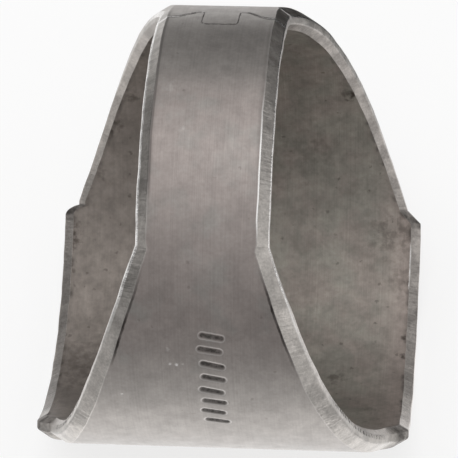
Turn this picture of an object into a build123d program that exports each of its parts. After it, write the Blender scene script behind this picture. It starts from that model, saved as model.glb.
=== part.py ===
from build123d import *
import os
from math import cos, degrees, pi, radians, sin

# Connecting rod bushing: a steel strip, cut to a tapered outline while it is flat,
# rolled into a ring and closed by a butt seam with an interlocking tab.
# +X runs along the bore, +Z points at the middle of the narrow band, and the origin
# is on the bore's axis at half the width. Lengths are in mm and angles in degrees.
# An angle along the edge is measured round the bore from the middle of the narrow band.

# Ring
outer_diameter = 46.0
wall = 2.4
outer_radius = outer_diameter / 2
bore_radius = outer_radius - wall
mean_radius = outer_radius - wall / 2

# Outline of the two ends, which mirror each other
narrow_width = 13.4
full_width = 39.4
flare_start_angle = 44.0
flare_end_angle = 134.5
flare_slope = 1 / 3
step_slope = 1.6
step_height = 0.9
shoulder_slope = 0.5
narrow_half = narrow_width / 2
full_half = full_width / 2

# Bevels: how deep they go into the wall, and how far they reach back along the bore
outer_bevel_depth = 0.9
inner_bevel_depth = 0.65
band_bevels = (1.15, 0.75)
flare_bevels = (1.45, 0.8)
full_bevels = (1.4, 1.05)

# Seam across the narrow band, seen from outside: x along the bore, y away from the band's middle
seam_angle = 29.0
seam_gap = 0.12
tab_half_width = 1.85
tab_end = -1.85
socket_top = 2.1
socket_shoulder = 2.75
socket_foot = 3.95
foot_radius = 0.9
shoulder_radius = 0.6
socket_radius = 0.22
tab_radius = 0.5

# Room that the cutting shapes have beyond the wall, and how far round they overlap
spare = 1.0
overlap_angle = 10.0
half_turn = 180.0


def edge_points(half, bevels):
    """Outline of one edge in section, from the bore outwards, as (x, radius) points."""
    outer_bevel, inner_bevel = bevels
    outer_lean = outer_bevel / outer_bevel_depth
    inner_lean = inner_bevel / inner_bevel_depth
    return [
        (half - inner_lean * (inner_bevel_depth + spare), bore_radius - spare),
        (half, bore_radius + inner_bevel_depth),
        (half, outer_radius - outer_bevel_depth),
        (half - outer_lean * (outer_bevel_depth + spare), outer_radius + spare),
    ]


def even_ring(half, bevels):
    """Ring of the same width all the way round, with all four edges bevelled."""
    right = edge_points(half, bevels)
    left = [(-x, radius) for x, radius in reversed(right)]
    section = make_face(Polyline(*[(x, 0, radius) for x, radius in right + left], close=True))
    tube = Cylinder(outer_radius, 2 * half) - Cylinder(bore_radius, 2 * half)
    return Rot(0, 90, 0) * tube & revolve(section, Axis.X, 360)


def spreading_edges(half, slope, bevels, start_angle):
    """Space between two mirrored edges that spread evenly as they go round the -Y side.

    A straight cut in the flat strip becomes a helix on the ring, so each corner of the
    edge's section is a helix, and ruled faces join them.
    """
    end_angle = half_turn + overlap_angle
    rise = slope * mean_radius
    pitch = 2 * pi * rise
    climb = rise * radians(end_angle - start_angle)
    right = [
        Edge.make_helix(pitch, climb, radius, center=(x, 0, 0), normal=(1, 0, 0))
        for x, radius in edge_points(half, bevels)
    ]
    left = [rail.mirror(Plane.YZ) for rail in reversed(right)]
    rails = right + left
    sides = [
        Face.make_surface_from_curves(rail, following)
        for rail, following in zip(rails, rails[1:] + rails[:1])
    ]
    caps = [make_face(Polyline(*[rail @ end for rail in rails], close=True)).face() for end in (0, 1)]
    return Solid(Shell(sides + caps)).rotate(Axis.X, start_angle)


def both_sides(near_side):
    """A shape of the -Y side together with its mirror image on the +Y side."""
    return near_side + mirror(near_side, Plane.XZ)


def seam_cut():
    """Hairline gap between the strip's ends, with the tab of one end in the socket of the other."""
    right = [
        (tab_half_width, tab_end),
        (tab_half_width, socket_top),
        (socket_shoulder, socket_top),
        (socket_foot, 0),
        (narrow_half + spare, 0),
    ]
    left = [(-x, y) for x, y in reversed(right)]
    right_radii = [tab_radius, socket_radius, shoulder_radius, foot_radius]
    line = FilletPolyline(*left, *right, radius=right_radii[::-1] + right_radii)
    outwards = (0, sin(radians(seam_angle)), cos(radians(seam_angle)))
    surface = Plane(Vector(outwards) * mean_radius, x_dir=(1, 0, 0), z_dir=outwards)
    return extrude(surface * trace(line, line_width=seam_gap), amount=wall, both=True)


flare_rise = flare_slope * mean_radius * radians(flare_end_angle - flare_start_angle)
flare_end_half = narrow_half + flare_rise

# Each spreading edge starts a little early, inside the part that comes before it
flare_early = narrow_half - flare_slope * mean_radius * radians(overlap_angle)
step_start = flare_end_angle - overlap_angle / 2
step_early = flare_end_half - step_slope * mean_radius * radians(overlap_angle / 2)

# The step is steep at first, and the shoulder eases off into the full width
step_end_angle = flare_end_angle + degrees(step_height / (step_slope * mean_radius))
shoulder_rise = shoulder_slope * mean_radius * radians(step_end_angle - step_start)
shoulder_early = flare_end_half + step_height - shoulder_rise

band = even_ring(narrow_half, band_bevels)
flare = both_sides(spreading_edges(flare_early, flare_slope, flare_bevels, flare_start_angle - overlap_angle))
step = both_sides(spreading_edges(step_early, step_slope, full_bevels, step_start))
shoulder = both_sides(spreading_edges(shoulder_early, shoulder_slope, full_bevels, step_start))
wide_part = even_ring(full_half, full_bevels) & (flare + (step & shoulder))
bushing = band + wide_part - seam_cut()

os.makedirs("parts", exist_ok=True)
export_step(bushing, "parts/bushing.step")
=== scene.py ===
from math import cos, pi, radians, sin

import bpy
from mathutils import Matrix, Vector


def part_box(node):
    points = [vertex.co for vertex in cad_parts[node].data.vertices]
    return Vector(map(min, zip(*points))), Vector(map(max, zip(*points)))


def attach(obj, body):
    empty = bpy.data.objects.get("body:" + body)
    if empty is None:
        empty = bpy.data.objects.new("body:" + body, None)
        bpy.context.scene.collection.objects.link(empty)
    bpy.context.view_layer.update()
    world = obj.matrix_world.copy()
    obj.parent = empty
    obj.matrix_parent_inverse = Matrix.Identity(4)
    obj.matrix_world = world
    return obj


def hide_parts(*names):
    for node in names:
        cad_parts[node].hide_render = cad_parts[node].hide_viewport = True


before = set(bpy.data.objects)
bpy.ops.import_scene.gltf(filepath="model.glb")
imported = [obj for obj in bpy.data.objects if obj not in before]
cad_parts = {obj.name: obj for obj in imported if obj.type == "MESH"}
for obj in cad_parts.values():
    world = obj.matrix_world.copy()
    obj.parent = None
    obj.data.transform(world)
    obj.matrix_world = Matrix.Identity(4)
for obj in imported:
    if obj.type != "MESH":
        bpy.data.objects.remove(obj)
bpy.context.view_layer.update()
mm = 0.001
lowCorner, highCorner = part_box("bushing")
print("frame loaded")


def linearColour(hexText, alpha=1.0):
    # sRGB hex to the linear values that shaders take
    parts = [int(hexText[i:i + 2], 16) / 255 for i in (1, 3, 5)]
    return [p / 12.92 if p <= 0.04045 else ((p + 0.055) / 1.055) ** 2.4 for p in parts] + [alpha]


def addNode(tree, kind, settings=None, inputs=None):
    # a node with its settings, and its inputs by name or by place:
    # values, sockets, or nodes, which stand for their first output
    node = tree.nodes.new(kind)
    for name, value in (settings or {}).items():
        setattr(node, name, value)
    pairs = inputs.items() if isinstance(inputs, dict) else enumerate(inputs or [])
    for key, value in pairs:
        if isinstance(value, bpy.types.Node):
            value = value.outputs[0]
        if isinstance(value, bpy.types.NodeSocket):
            tree.links.new(value, node.inputs[key])
        elif value is not None:
            node.inputs[key].default_value = value
    return node


def emptyTree(holder):
    # the node tree of a new material or world, without its first nodes
    holder.use_nodes = True
    holder.node_tree.nodes.clear()
    return holder.node_tree


def combined(tree, operation, values):
    # several values taken together by one operation, in their order
    result = values[0]
    for value in values[1:]:
        result = addNode(tree, "ShaderNodeMath", {"operation": operation}, [result, value])
    return result


def product(tree, *values):
    return combined(tree, "MULTIPLY", values)


def greatest(tree, *values):
    return combined(tree, "MAXIMUM", values)


# Bushing: one strip, widened along its length, slit at the seam and rolled round the bore

ring = {
    "wall": 2.4,
    "narrowWidth": 13.4,
    "flareStart": 44.0,        # degrees round the bore from the middle of the narrow band
    "flareEnd": 134.5,
    "flareSlope": 1 / 3,       # half width gained for each mm round the middle of the wall
    "stepTurns": (4.4, 6.2),   # degrees that the left and the right shoulders take
    "stepPowers": (0.6, 1.0),  # lower is steeper where a shoulder starts
    "lateStep": 1.3,           # on the far side they start this much later
    "straightStep": (0.5, 4.4),  # the right shoulder on the far side is straight, between these turns
    "outerBevel": (1.4, 0.9),  # along the bore and into the wall, at the wide part
    "innerBevel": (1.05, 0.65),
    "bandBevels": (0.82, 0.72),  # outer and inner bevel on the band, as a part of the wide part's
    "flareBevels": (1.03, 0.77),
    "roundings": (0.12, 0.14, 0.3, 0.12),   # corners of an edge, from the bore outwards
    "edgeSupport": 0.2,
    "edgeZone": 1.95,          # width next to each edge that keeps its size as the strip widens
    "edgeWobble": 0.13,        # how far the filed edges wander
    "wobbleLength": 3.5,
    "wobbleLevels": (0.25, 0.75),   # of the noise, where it is least and most
    "turnIn": 1.0,             # degrees each way over which the bevels grow as the flare starts
    "roundingSteps": 3,
}

rowZones = [                   # where the strip's rows change their spacing: degrees, then mm
    (-180.0, 0.6),
    (-142.0, 0.2),             # shoulders
    (-133.0, 0.6),
    (-48.0, 0.3),
    (-36.0, 0.15),             # seam
    (-22.0, 0.6),
    (40.0, 0.3),               # where the flare starts
    (60.0, 0.11),              # punch marks
    (103.0, 0.16),             # file marks and shoulders
    (142.0, 0.6),
]

columns = {                    # spacing of the points across the wide part, in mm
    "fineFrom": -3.6,
    "fineTo": 7.4,
    "fineStep": 0.2,
    "coarseStep": 1.1,
    "edgeCuts": 2,             # points between two corners of an edge
}

outerRadius = highCorner.z / mm
fullHalf = highCorner.x / mm
boreRadius = outerRadius - ring["wall"]
meanRadius = outerRadius - ring["wall"] / 2
stripLength = 2 * pi * meanRadius
narrowHalf = ring["narrowWidth"] / 2
flareHalf = narrowHalf + ring["flareSlope"] * meanRadius * radians(ring["flareEnd"] - ring["flareStart"])
flatScale = meanRadius / outerRadius   # a length round the outside, laid flat


def stripPlace(angle):
    # distance along the flat strip, which starts opposite the band's middle
    return stripLength * (angle + 180) / 360


def meshObject(name, points, edges=(), faces=()):
    mesh = bpy.data.meshes.new(name)
    mesh.from_pydata([tuple(c * mm for c in p) for p in points], list(edges), list(faces))
    piece = bpy.data.objects.new(name, mesh)
    bpy.context.scene.collection.objects.link(piece)
    return piece


def pointValues(piece, name, kind, values):
    attribute = piece.data.attributes.new(name, kind, "POINT")
    for item, value in zip(attribute.data, values):
        item.value = value


def closedLoop(name, points):
    # a section drawn flat: x across the strip, and the wall from the bore down
    count = len(points)
    return meshObject(name, [(x, -y, 0) for x, y in points], [(i, (i + 1) % count) for i in range(count)])


def sectionLoop():
    # the wide part's section: its corners with their roundings, and more points between them
    outerReach, outerDepth = ring["outerBevel"]
    innerReach, innerDepth = ring["innerBevel"]
    wall = ring["wall"]
    corners = [
        (fullHalf - innerReach, 0),
        (fullHalf, innerDepth),
        (fullHalf, wall - outerDepth),
        (fullHalf - outerReach, wall),
    ]
    corners += [(-x, y) for x, y in reversed(corners)]
    roundings = ring["roundings"] + ring["roundings"][::-1]
    core = fullHalf - ring["edgeZone"]
    fineFrom, fineTo = columns["fineFrom"], columns["fineTo"]
    coarse, fine = columns["coarseStep"], columns["fineStep"]
    points, cuts, radii = [], [], []
    for i, corner in enumerate(corners):
        here, before, after = Vector(corner), Vector(corners[i - 1]), Vector(corners[(i + 1) % len(corners)])
        back, on = ((end - here).normalized() * ring["edgeSupport"] for end in (before, after))
        points += [here + back, here, here + on]
        radii += [0, roundings[i], 0]
        cuts += [0, 0, columns["edgeCuts"]]
        if i == 3:             # across the outside, from right to left
            cuts[-1] = 0
            across = [(core, (core - fineTo) / coarse), (fineTo, (fineTo - fineFrom) / fine)]
            across += [(fineFrom, (fineFrom + core) / coarse), (-core, 0)]
            points += [Vector((x, wall)) for x, _ in across]
            cuts += [int(count) for _, count in across]
            radii += [0] * len(across)
        if i == 7:             # back along the bore, from left to right
            cuts[-1] = 0
            points += [Vector((-core, 0)), Vector((core, 0))]
            cuts += [int(2 * core / coarse), 0]
            radii += [0, 0]
    loop = closedLoop("section", points)
    pointValues(loop, "cuts", "INT", cuts)
    pointValues(loop, "rounding", "FLOAT", [r * mm for r in radii])
    return loop


seam = {
    "angle": -29.0,            # on the far side of the band's middle
    "gap": 0.08,
    "chamfer": 0.02,
    "roundingSteps": 7,
    "wiped": 0.4,              # grime and painted shade next to the seam reach further round the ring than across it
    "line": [                  # across the band, towards its middle, and the corner's rounding
        (7.7, 0.0, 0.0),
        (4.5, 0.0, 1.6),
        (2.75, -1.9, 0.5),
        (1.85, -1.9, 0.22),
        (1.85, 1.8, 0.45),     # the tab's end
        (-1.85, 1.8, 0.45),
        (-1.85, -1.95, 0.2),
        (-2.2, -1.95, 0.3),
        (-4.7, 0.0, 1.4),
        (-7.7, 0.0, 0.0),
    ],
}


def seamLine():
    middle, count = stripPlace(seam["angle"]), len(seam["line"])
    line = meshObject(
        "seamLine",
        [(x, middle + y * flatScale, 0) for x, y, _ in seam["line"]],
        [(i, i + 1) for i in range(count - 1)],
    )
    pointValues(line, "rounding", "FLOAT", [radius * mm for _, _, radius in seam["line"]])
    return line


def seamSection():
    # the slit through the wall, a little wider at both faces
    half, chamfer, wall = seam["gap"] / 2, seam["chamfer"], ring["wall"]
    right = [
        (half + 2 * chamfer, -chamfer),
        (half, chamfer),
        (half, wall - chamfer),
        (half + 2 * chamfer, wall + chamfer),
    ]
    return closedLoop("seamSection", right + [(-x, y) for x, y in reversed(right)])


marks = {                      # plain punch marks that hold the place of the stamped ones
    "across": 0.9,             # mm from the middle of the width
    "from": 67.0,              # degrees round the bore
    "to": 97.2,
    "count": 8,
    "length": 1.9,
    "slants": (8.8, 13.2),     # degrees, least and most
    "depth": 0.16,
    "halfWidth": 0.5,
    "skin": 0.99,              # share of the wall beyond which a place is on the outside
    "jitter": 0.16,
    "seed": 4,
}

chatter = {                    # gashes that the file left where the cut face meets the inner bevel
    "right": (92.0, 128.0),    # degrees round the bore
    "left": (96.0, 126.0),
    "pitch": 0.42,
    "height": 0.78,            # above the bore
    "jitter": 0.1,
    "depth": 0.07,
    "halfWidth": 0.16,
    "reach": 0.3,              # mm in from the edge, which is as far as the cut face goes
    "apart": 10.0,             # keeps the two rows from each other's distances
    "seed": 11,
}

print("strip:", round(stripLength, 1), "mm long,", round(2 * fullHalf, 1), "mm at its widest")


def bushingTree():
    tree = bpy.data.node_groups.new("rolledStrip", "GeometryNodeTree")
    sockets = {
        "Section": "Geometry",
        "Seam Line": "Object",
        "Seam Section": "Object",
        "Rows": "Int",
        "Strip Length": "Float",
        "Narrow Half": "Float",
        "Flare Half": "Float",
        "Full Half": "Float",
        "Bore Radius": "Float",
        "Material": "Material",
    }
    for name, kind in sockets.items():
        tree.interface.new_socket(name, in_out="INPUT", socket_type="NodeSocket" + kind)
    tree.interface.new_socket("Geometry", in_out="OUTPUT", socket_type="NodeSocketGeometry")
    given = addNode(tree, "NodeGroupInput").outputs
    rounding = addNode(tree, "GeometryNodeInputNamedAttribute", {"data_type": "FLOAT"}, {"Name": "rounding"})
    rounding = rounding.outputs["Attribute"]
    at = placesOnStrip(tree, given)

    strip = flatBar(tree, given, rounding)
    strip = keepValues(tree, strip, {"fromEdge": at["fromEdge"]})
    strip = addNode(
        tree, "GeometryNodeSetPosition", inputs={"Geometry": strip, "Position": widenedPlace(tree, given, at)}
    )

    # slit it at the seam while it is flat
    line, slit = (
        addNode(tree, "GeometryNodeMeshToCurve", inputs=[
            addNode(tree, "GeometryNodeObjectInfo", inputs={"Object": given[name]}).outputs["Geometry"],
        ])
        for name in ("Seam Line", "Seam Section")
    )
    line = addNode(tree, "GeometryNodeFilletCurve", {"mode": "POLY"}, {
        "Curve": line, "Count": seam["roundingSteps"], "Radius": rounding,
    })
    line = addNode(tree, "GeometryNodeSetCurveNormal", {"mode": "Z_UP"}, [line])
    cutter = addNode(
        tree, "GeometryNodeCurveToMesh", inputs={"Curve": line, "Profile Curve": slit, "Fill Caps": True}
    )
    strip = addNode(
        tree, "GeometryNodeMeshBoolean", {"operation": "DIFFERENCE", "solver": "MANIFOLD"},
        {"Mesh 1": strip, "Mesh 2": cutter},
    )

    # sink the dents, and keep what the steel's finish reads
    offset, dented = dents(tree, at)
    place = addNode(tree, "ShaderNodeCombineXYZ", inputs=[at[axis] for axis in "XYZ"])
    strip = keepValues(
        tree, strip, {"seamNear": seamDistance(tree, at, line), "dented": dented, "stripPlace": place}
    )
    strip = addNode(tree, "GeometryNodeSetPosition", inputs={"Geometry": strip, "Offset": offset})

    # roll it round the bore, where its far ends meet
    shape = addNode(
        tree, "GeometryNodeSetPosition", inputs={"Geometry": strip, "Position": rolledPlace(tree, given, at)}
    )
    shape = addNode(tree, "GeometryNodeRealizeInstances", inputs=[shape])
    shape = addNode(
        tree, "GeometryNodeSetMaterial", inputs={"Geometry": shape, "Material": given["Material"]}
    )
    addNode(tree, "NodeGroupOutput", inputs=[shape])
    return tree


def placesOnStrip(tree, given):
    # X across the strip, Y along it and Z through the wall, and what follows from them
    position = addNode(tree, "GeometryNodeInputPosition")
    flat = addNode(tree, "ShaderNodeSeparateXYZ", inputs=[position]).outputs
    reach = addNode(tree, "ShaderNodeMath", {"operation": "ABSOLUTE"}, [flat["X"]])
    turn = addNode(tree, "ShaderNodeMapRange", {"clamp": False}, {
        "Value": flat["Y"], "From Min": 0, "From Max": given["Strip Length"], "To Min": -180, "To Max": 180,
    })
    return {
        "position": position,
        "X": flat["X"],
        "Y": flat["Y"],
        "Z": flat["Z"],
        "side": addNode(tree, "ShaderNodeMath", {"operation": "SIGN"}, [flat["X"]]),
        "reach": reach,
        "fromEdge": addNode(tree, "ShaderNodeMath", {"operation": "SUBTRACT"}, [given["Full Half"], reach]),
        "turn": turn,
        "fromBand": addNode(tree, "ShaderNodeMath", {"operation": "ABSOLUTE"}, [turn]),
    }


def keepValues(tree, strip, values):
    # kept with each point of the strip, for the dents and for the finish to read
    for name, value in values.items():
        kind = "FLOAT_VECTOR" if name == "stripPlace" else "FLOAT"
        strip = addNode(
            tree, "GeometryNodeStoreNamedAttribute", {"data_type": kind, "domain": "POINT"},
            {"Geometry": strip, "Name": name, "Value": value},
        )
    return strip


def flatBar(tree, given, rounding):
    # bar of the wide part's section, with its rows spaced by the curve
    section = addNode(tree, "GeometryNodeMeshToCurve", inputs=[given["Section"]])
    cuts = addNode(tree, "GeometryNodeInputNamedAttribute", {"data_type": "INT"}, {"Name": "cuts"})
    section = addNode(tree, "GeometryNodeSubdivideCurve", inputs=[section, cuts.outputs["Attribute"]])
    section = addNode(tree, "GeometryNodeFilletCurve", {"mode": "POLY"}, {
        "Curve": section, "Count": ring["roundingSteps"], "Radius": rounding,
    })
    rowLine = addNode(tree, "GeometryNodeMeshLine", inputs={"Count": given["Rows"], "Offset": (0, mm, 0)})
    index = addNode(tree, "GeometryNodeInputIndex")
    lastRow = addNode(tree, "ShaderNodeMath", {"operation": "SUBTRACT"}, [given["Rows"], 1])
    share = addNode(tree, "ShaderNodeMath", {"operation": "DIVIDE"}, [index, lastRow])
    spacing = addNode(tree, "ShaderNodeFloatCurve", inputs={"Value": share})
    setRowSpacing(spacing.mapping)
    along = product(tree, spacing, given["Strip Length"])
    rowPlace = addNode(tree, "ShaderNodeCombineXYZ", inputs={"Y": along})
    rowLine = addNode(tree, "GeometryNodeSetPosition", inputs={"Geometry": rowLine, "Position": rowPlace})
    path = addNode(tree, "GeometryNodeMeshToCurve", inputs=[rowLine])
    return addNode(
        tree, "GeometryNodeCurveToMesh", inputs={"Curve": path, "Profile Curve": section, "Fill Caps": True}
    )


def zoneRows():
    # each zone's share of the length, and how many rows it has
    ends = [start for start, _ in rowZones[1:]] + [180.0]
    zones = [((end - start) / 360, spacing) for (start, spacing), end in zip(rowZones, ends)]
    return [(share, share * stripLength / spacing) for share, spacing in zones]


def setRowSpacing(mapping):
    # share of the rows against share of the length, straight within each zone
    zones = zoneRows()
    total = sum(rows for _, rows in zones)
    curve = mapping.curves[0]
    rowShare, lengthShare = 0, 0
    for share, rows in zones[:-1]:
        rowShare += rows / total
        lengthShare += share
        curve.points.new(rowShare, lengthShare)
    for point in curve.points:
        point.handle_type = "VECTOR"
    mapping.update()


def widenedPlace(tree, given, at):
    # half of the width: the band, the flare, and the shoulders, which differ a little from each other
    fromBand, side, flareEnd = at["fromBand"], at["side"], ring["flareEnd"]
    taper = addNode(tree, "ShaderNodeMapRange", inputs={
        "Value": fromBand, "From Min": ring["flareStart"], "From Max": flareEnd,
        "To Min": given["Narrow Half"], "To Max": given["Flare Half"],
    })
    stepTurn, stepPower = (
        addNode(tree, "ShaderNodeMapRange", inputs={
            "Value": side, "From Min": -1, "From Max": 1, "To Min": ring[name][0], "To Max": ring[name][1],
        })
        for name in ("stepTurns", "stepPowers")
    )
    farSide = addNode(tree, "ShaderNodeMath", {"operation": "LESS_THAN"}, [at["turn"], 0.0])
    stepStart = addNode(
        tree, "ShaderNodeMath", {"operation": "MULTIPLY_ADD"}, [farSide, ring["lateStep"], flareEnd]
    )
    stepEnd = addNode(tree, "ShaderNodeMath", {"operation": "ADD"}, [stepTurn, flareEnd])
    stepTime = addNode(tree, "ShaderNodeMapRange", inputs={
        "Value": fromBand, "From Min": stepStart, "From Max": stepEnd, "To Min": 0, "To Max": pi / 2,
    })
    stepShare = addNode(tree, "ShaderNodeMath", {"operation": "SINE"}, [stepTime])
    stepShare = addNode(tree, "ShaderNodeMath", {"operation": "POWER"}, [stepShare, stepPower])
    straightFrom, straightTo = (flareEnd + turn for turn in ring["straightStep"])
    straight = addNode(tree, "ShaderNodeMapRange", inputs={
        "Value": fromBand, "From Min": straightFrom, "From Max": straightTo,
    })
    rightSide = addNode(tree, "ShaderNodeMath", {"operation": "GREATER_THAN"}, [side, 0.0])
    cornered = product(tree, farSide, rightSide)
    stepShare = addNode(tree, "ShaderNodeMix", {"data_type": "FLOAT"}, {
        "Factor": cornered, "A": stepShare, "B": straight,
    })
    stepSize = addNode(
        tree, "ShaderNodeMath", {"operation": "SUBTRACT"}, [given["Full Half"], given["Flare Half"]]
    )
    step = product(tree, stepShare, stepSize)
    half = addNode(tree, "ShaderNodeMath", {"operation": "ADD"}, [taper, step])

    # the core stretches, and each edge keeps its own size
    zone = ring["edgeZone"] * mm
    coreHalf, newCore = (
        addNode(tree, "ShaderNodeMath", {"operation": "SUBTRACT"}, [whole, zone])
        for whole in (given["Full Half"], half)
    )
    inCore = addNode(tree, "ShaderNodeMapRange", inputs={
        "Value": at["reach"], "From Min": 0, "From Max": coreHalf, "To Min": 0, "To Max": newCore,
    })
    inEdge, wander = edgeStretch(tree, at, stepShare), edgeWander(tree, at, coreHalf)
    reach = addNode(tree, "ShaderNodeMath", {"operation": "ADD"}, [inCore, inEdge])
    reach = addNode(tree, "ShaderNodeMath", {"operation": "SUBTRACT"}, [reach, wander])
    across = product(tree, reach, side)
    return addNode(tree, "ShaderNodeCombineXYZ", inputs=[across, at["Y"], at["Z"]])


def edgeStretch(tree, at, stepShare):
    # the bevels grow where the band turns into the flare, and again at the shoulders
    upper = addNode(tree, "ShaderNodeMath", {"operation": "GREATER_THAN"}, [at["Z"], ring["wall"] / 2 * mm])
    zone = ring["edgeZone"] * mm
    stretched = []
    for which, (bevel, _) in enumerate((ring["outerBevel"], ring["innerBevel"])):
        onBandShare, onFlareShare = ring["bandBevels"][which], ring["flareBevels"][which]
        onFlare = addNode(tree, "ShaderNodeMapRange", inputs={
            "Value": at["fromBand"], "From Min": ring["flareStart"] - ring["turnIn"],
            "From Max": ring["flareStart"] + ring["turnIn"], "To Min": onBandShare, "To Max": onFlareShare,
        })
        onWide = product(tree, stepShare, 1 - onFlareShare)
        scale = addNode(tree, "ShaderNodeMath", {"operation": "ADD"}, [onFlare, onWide])
        bevelEnd = product(tree, scale, bevel * mm)
        rest = addNode(tree, "ShaderNodeMath", {"operation": "SUBTRACT"}, [zone, bevelEnd])
        near, far = (
            addNode(tree, "ShaderNodeMapRange", inputs={
                "Value": at["fromEdge"], "From Min": start, "From Max": end, "To Min": 0, "To Max": width,
            })
            for start, end, width in ((0, bevel * mm, bevelEnd), (bevel * mm, zone, rest))
        )
        stretched.append(addNode(tree, "ShaderNodeMath", {"operation": "ADD"}, [near, far]))
    inset = addNode(tree, "ShaderNodeMix", {"data_type": "FLOAT"}, {
        "Factor": upper, "A": stretched[1], "B": stretched[0],
    })
    return addNode(tree, "ShaderNodeMath", {"operation": "SUBTRACT"}, [zone, inset])


def edgeWander(tree, at, coreHalf):
    # filed by hand, so each line along an edge wanders a little on its own
    wave = addNode(tree, "ShaderNodeTexNoise", {"noise_dimensions": "3D"}, {
        "Vector": at["position"], "Scale": 1 / (ring["wobbleLength"] * mm), "Detail": 2.0,
    }).outputs["Fac"]
    low, high = ring["wobbleLevels"]
    centred = addNode(tree, "ShaderNodeMapRange", inputs={
        "Value": wave, "From Min": low, "From Max": high, "To Min": 0, "To Max": ring["edgeWobble"] * mm,
    })
    atEdge = addNode(tree, "ShaderNodeMath", {"operation": "GREATER_THAN"}, [at["reach"], coreHalf])
    return product(tree, centred, atEdge)


def seamDistance(tree, at, line):
    # how far each place lies from the seam, for the grime and painted shade that reach further round the ring
    # from it
    shortened = product(tree, at["Y"], seam["wiped"])
    onFace = addNode(tree, "ShaderNodeCombineXYZ", inputs=[at["X"], shortened])
    wire = addNode(tree, "GeometryNodeCurveToMesh", inputs={"Curve": line})
    wire = addNode(tree, "GeometryNodeTransform", inputs={"Geometry": wire, "Scale": (1, seam["wiped"], 1)})
    return addNode(tree, "GeometryNodeProximity", {"target_element": "EDGES"}, {
        "Geometry": wire, "Sample Position": onFace,
    }).outputs["Distance"]


def dents(tree, at):
    # the punch marks go into the outside, and the gashes into the cut faces
    sunk, gash = (
        addNode(tree, "ShaderNodeMapRange", {"interpolation_type": "SMOOTHSTEP"}, {
            "Value": distance, "From Min": 0, "From Max": kind["halfWidth"] * mm,
            "To Min": -kind["depth"] * mm, "To Max": 0,
        })
        for kind, distance in ((marks, markDistance(tree, at)), (chatter, gashDistance(tree, at)))
    )
    skin = marks["skin"] * ring["wall"] * mm
    outside = addNode(tree, "ShaderNodeMath", {"operation": "GREATER_THAN"}, [at["Z"], skin])
    punched = product(tree, sunk, outside)
    kept = addNode(tree, "GeometryNodeInputNamedAttribute", {"data_type": "FLOAT"}, {"Name": "fromEdge"})
    atCut = addNode(tree, "ShaderNodeMath", {"operation": "LESS_THAN"}, [kept, chatter["reach"] * mm])
    gashed = product(tree, gash, atCut)
    inwards = product(tree, gashed, at["side"])
    offset = addNode(tree, "ShaderNodeCombineXYZ", inputs={"X": inwards, "Z": punched})
    return offset, addNode(tree, "ShaderNodeMath", {"operation": "ADD"}, [punched, gashed])


def markDistance(tree, at):
    # slanting strokes in a row, each a little off its place
    first, last = stripPlace(marks["from"]), stripPlace(marks["to"])
    pitch = (last - first) / (marks["count"] - 1)
    row = addNode(tree, "GeometryNodeMeshLine", inputs={
        "Count": marks["count"], "Start Location": (marks["across"] * mm, first * mm, ring["wall"] * mm),
        "Offset": (0, pitch * mm, 0),
    })
    jitter = marks["jitter"] * mm
    shift = addNode(tree, "FunctionNodeRandomValue", {"data_type": "FLOAT_VECTOR"}, {
        "Min": (-jitter, -jitter / 2, 0), "Max": (jitter, jitter / 2, 0), "Seed": marks["seed"],
    })
    row = addNode(tree, "GeometryNodeSetPosition", inputs={"Geometry": row, "Offset": shift})
    half = marks["length"] / 2 * mm
    stroke = addNode(tree, "GeometryNodeCurvePrimitiveLine", inputs={
        "Start": (-half, 0, 0), "End": (half, 0, 0),
    })
    stroke = addNode(tree, "GeometryNodeCurveToMesh", inputs={"Curve": stroke})
    least, most = (radians(angle) for angle in marks["slants"])
    lean = addNode(tree, "FunctionNodeRandomValue", {"data_type": "FLOAT_VECTOR"}, {
        "Min": (0, 0, least), "Max": (0, 0, most), "Seed": marks["seed"] + 1,
    })
    strokes = addNode(tree, "GeometryNodeInstanceOnPoints", inputs={
        "Points": row, "Instance": stroke, "Rotation": lean,
    })
    strokes = addNode(tree, "GeometryNodeRealizeInstances", inputs=[strokes])
    return addNode(tree, "GeometryNodeProximity", {"target_element": "EDGES"}, {
        "Geometry": strokes, "Sample Position": at["position"],
    }).outputs["Distance"]


def gashDistance(tree, at):
    # a row of short gashes on each side, each a little off its place
    rows = addNode(tree, "GeometryNodeJoinGeometry")
    jitter = chatter["jitter"] * mm
    for name, sign in (("left", -1), ("right", 1)):
        first, last = (stripPlace(angle) for angle in chatter[name])
        row = addNode(tree, "GeometryNodeMeshLine", inputs={
            "Count": int((last - first) / chatter["pitch"]), "Offset": (0, chatter["pitch"] * mm, 0),
            "Start Location": (sign * chatter["apart"] * mm, first * mm, chatter["height"] * mm),
        })
        shift = addNode(tree, "FunctionNodeRandomValue", {"data_type": "FLOAT_VECTOR"}, {
            "Min": (0, -jitter, -jitter), "Max": (0, jitter, jitter), "Seed": chatter["seed"] + sign,
        })
        row = addNode(tree, "GeometryNodeSetPosition", inputs={"Geometry": row, "Offset": shift})
        tree.links.new(row.outputs[0], rows.inputs[0])
    apart = product(tree, at["side"], chatter["apart"] * mm)
    onEdge = addNode(tree, "ShaderNodeCombineXYZ", inputs=[apart, at["Y"], at["Z"]])
    return addNode(tree, "GeometryNodeProximity", {"target_element": "POINTS"}, {
        "Geometry": rows, "Sample Position": onEdge,
    }).outputs["Distance"]


def rolledPlace(tree, given, at):
    radius = addNode(tree, "ShaderNodeMath", {"operation": "ADD"}, [given["Bore Radius"], at["Z"]])
    angle = addNode(tree, "ShaderNodeMath", {"operation": "RADIANS"}, [at["turn"]])
    nearer, height = (
        product(tree, radius, addNode(tree, "ShaderNodeMath", {"operation": operation}, [angle]))
        for operation in ("SINE", "COSINE")
    )
    depth = product(tree, nearer, -1)
    return addNode(tree, "ShaderNodeCombineXYZ", inputs=[at["X"], depth, height])


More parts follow.
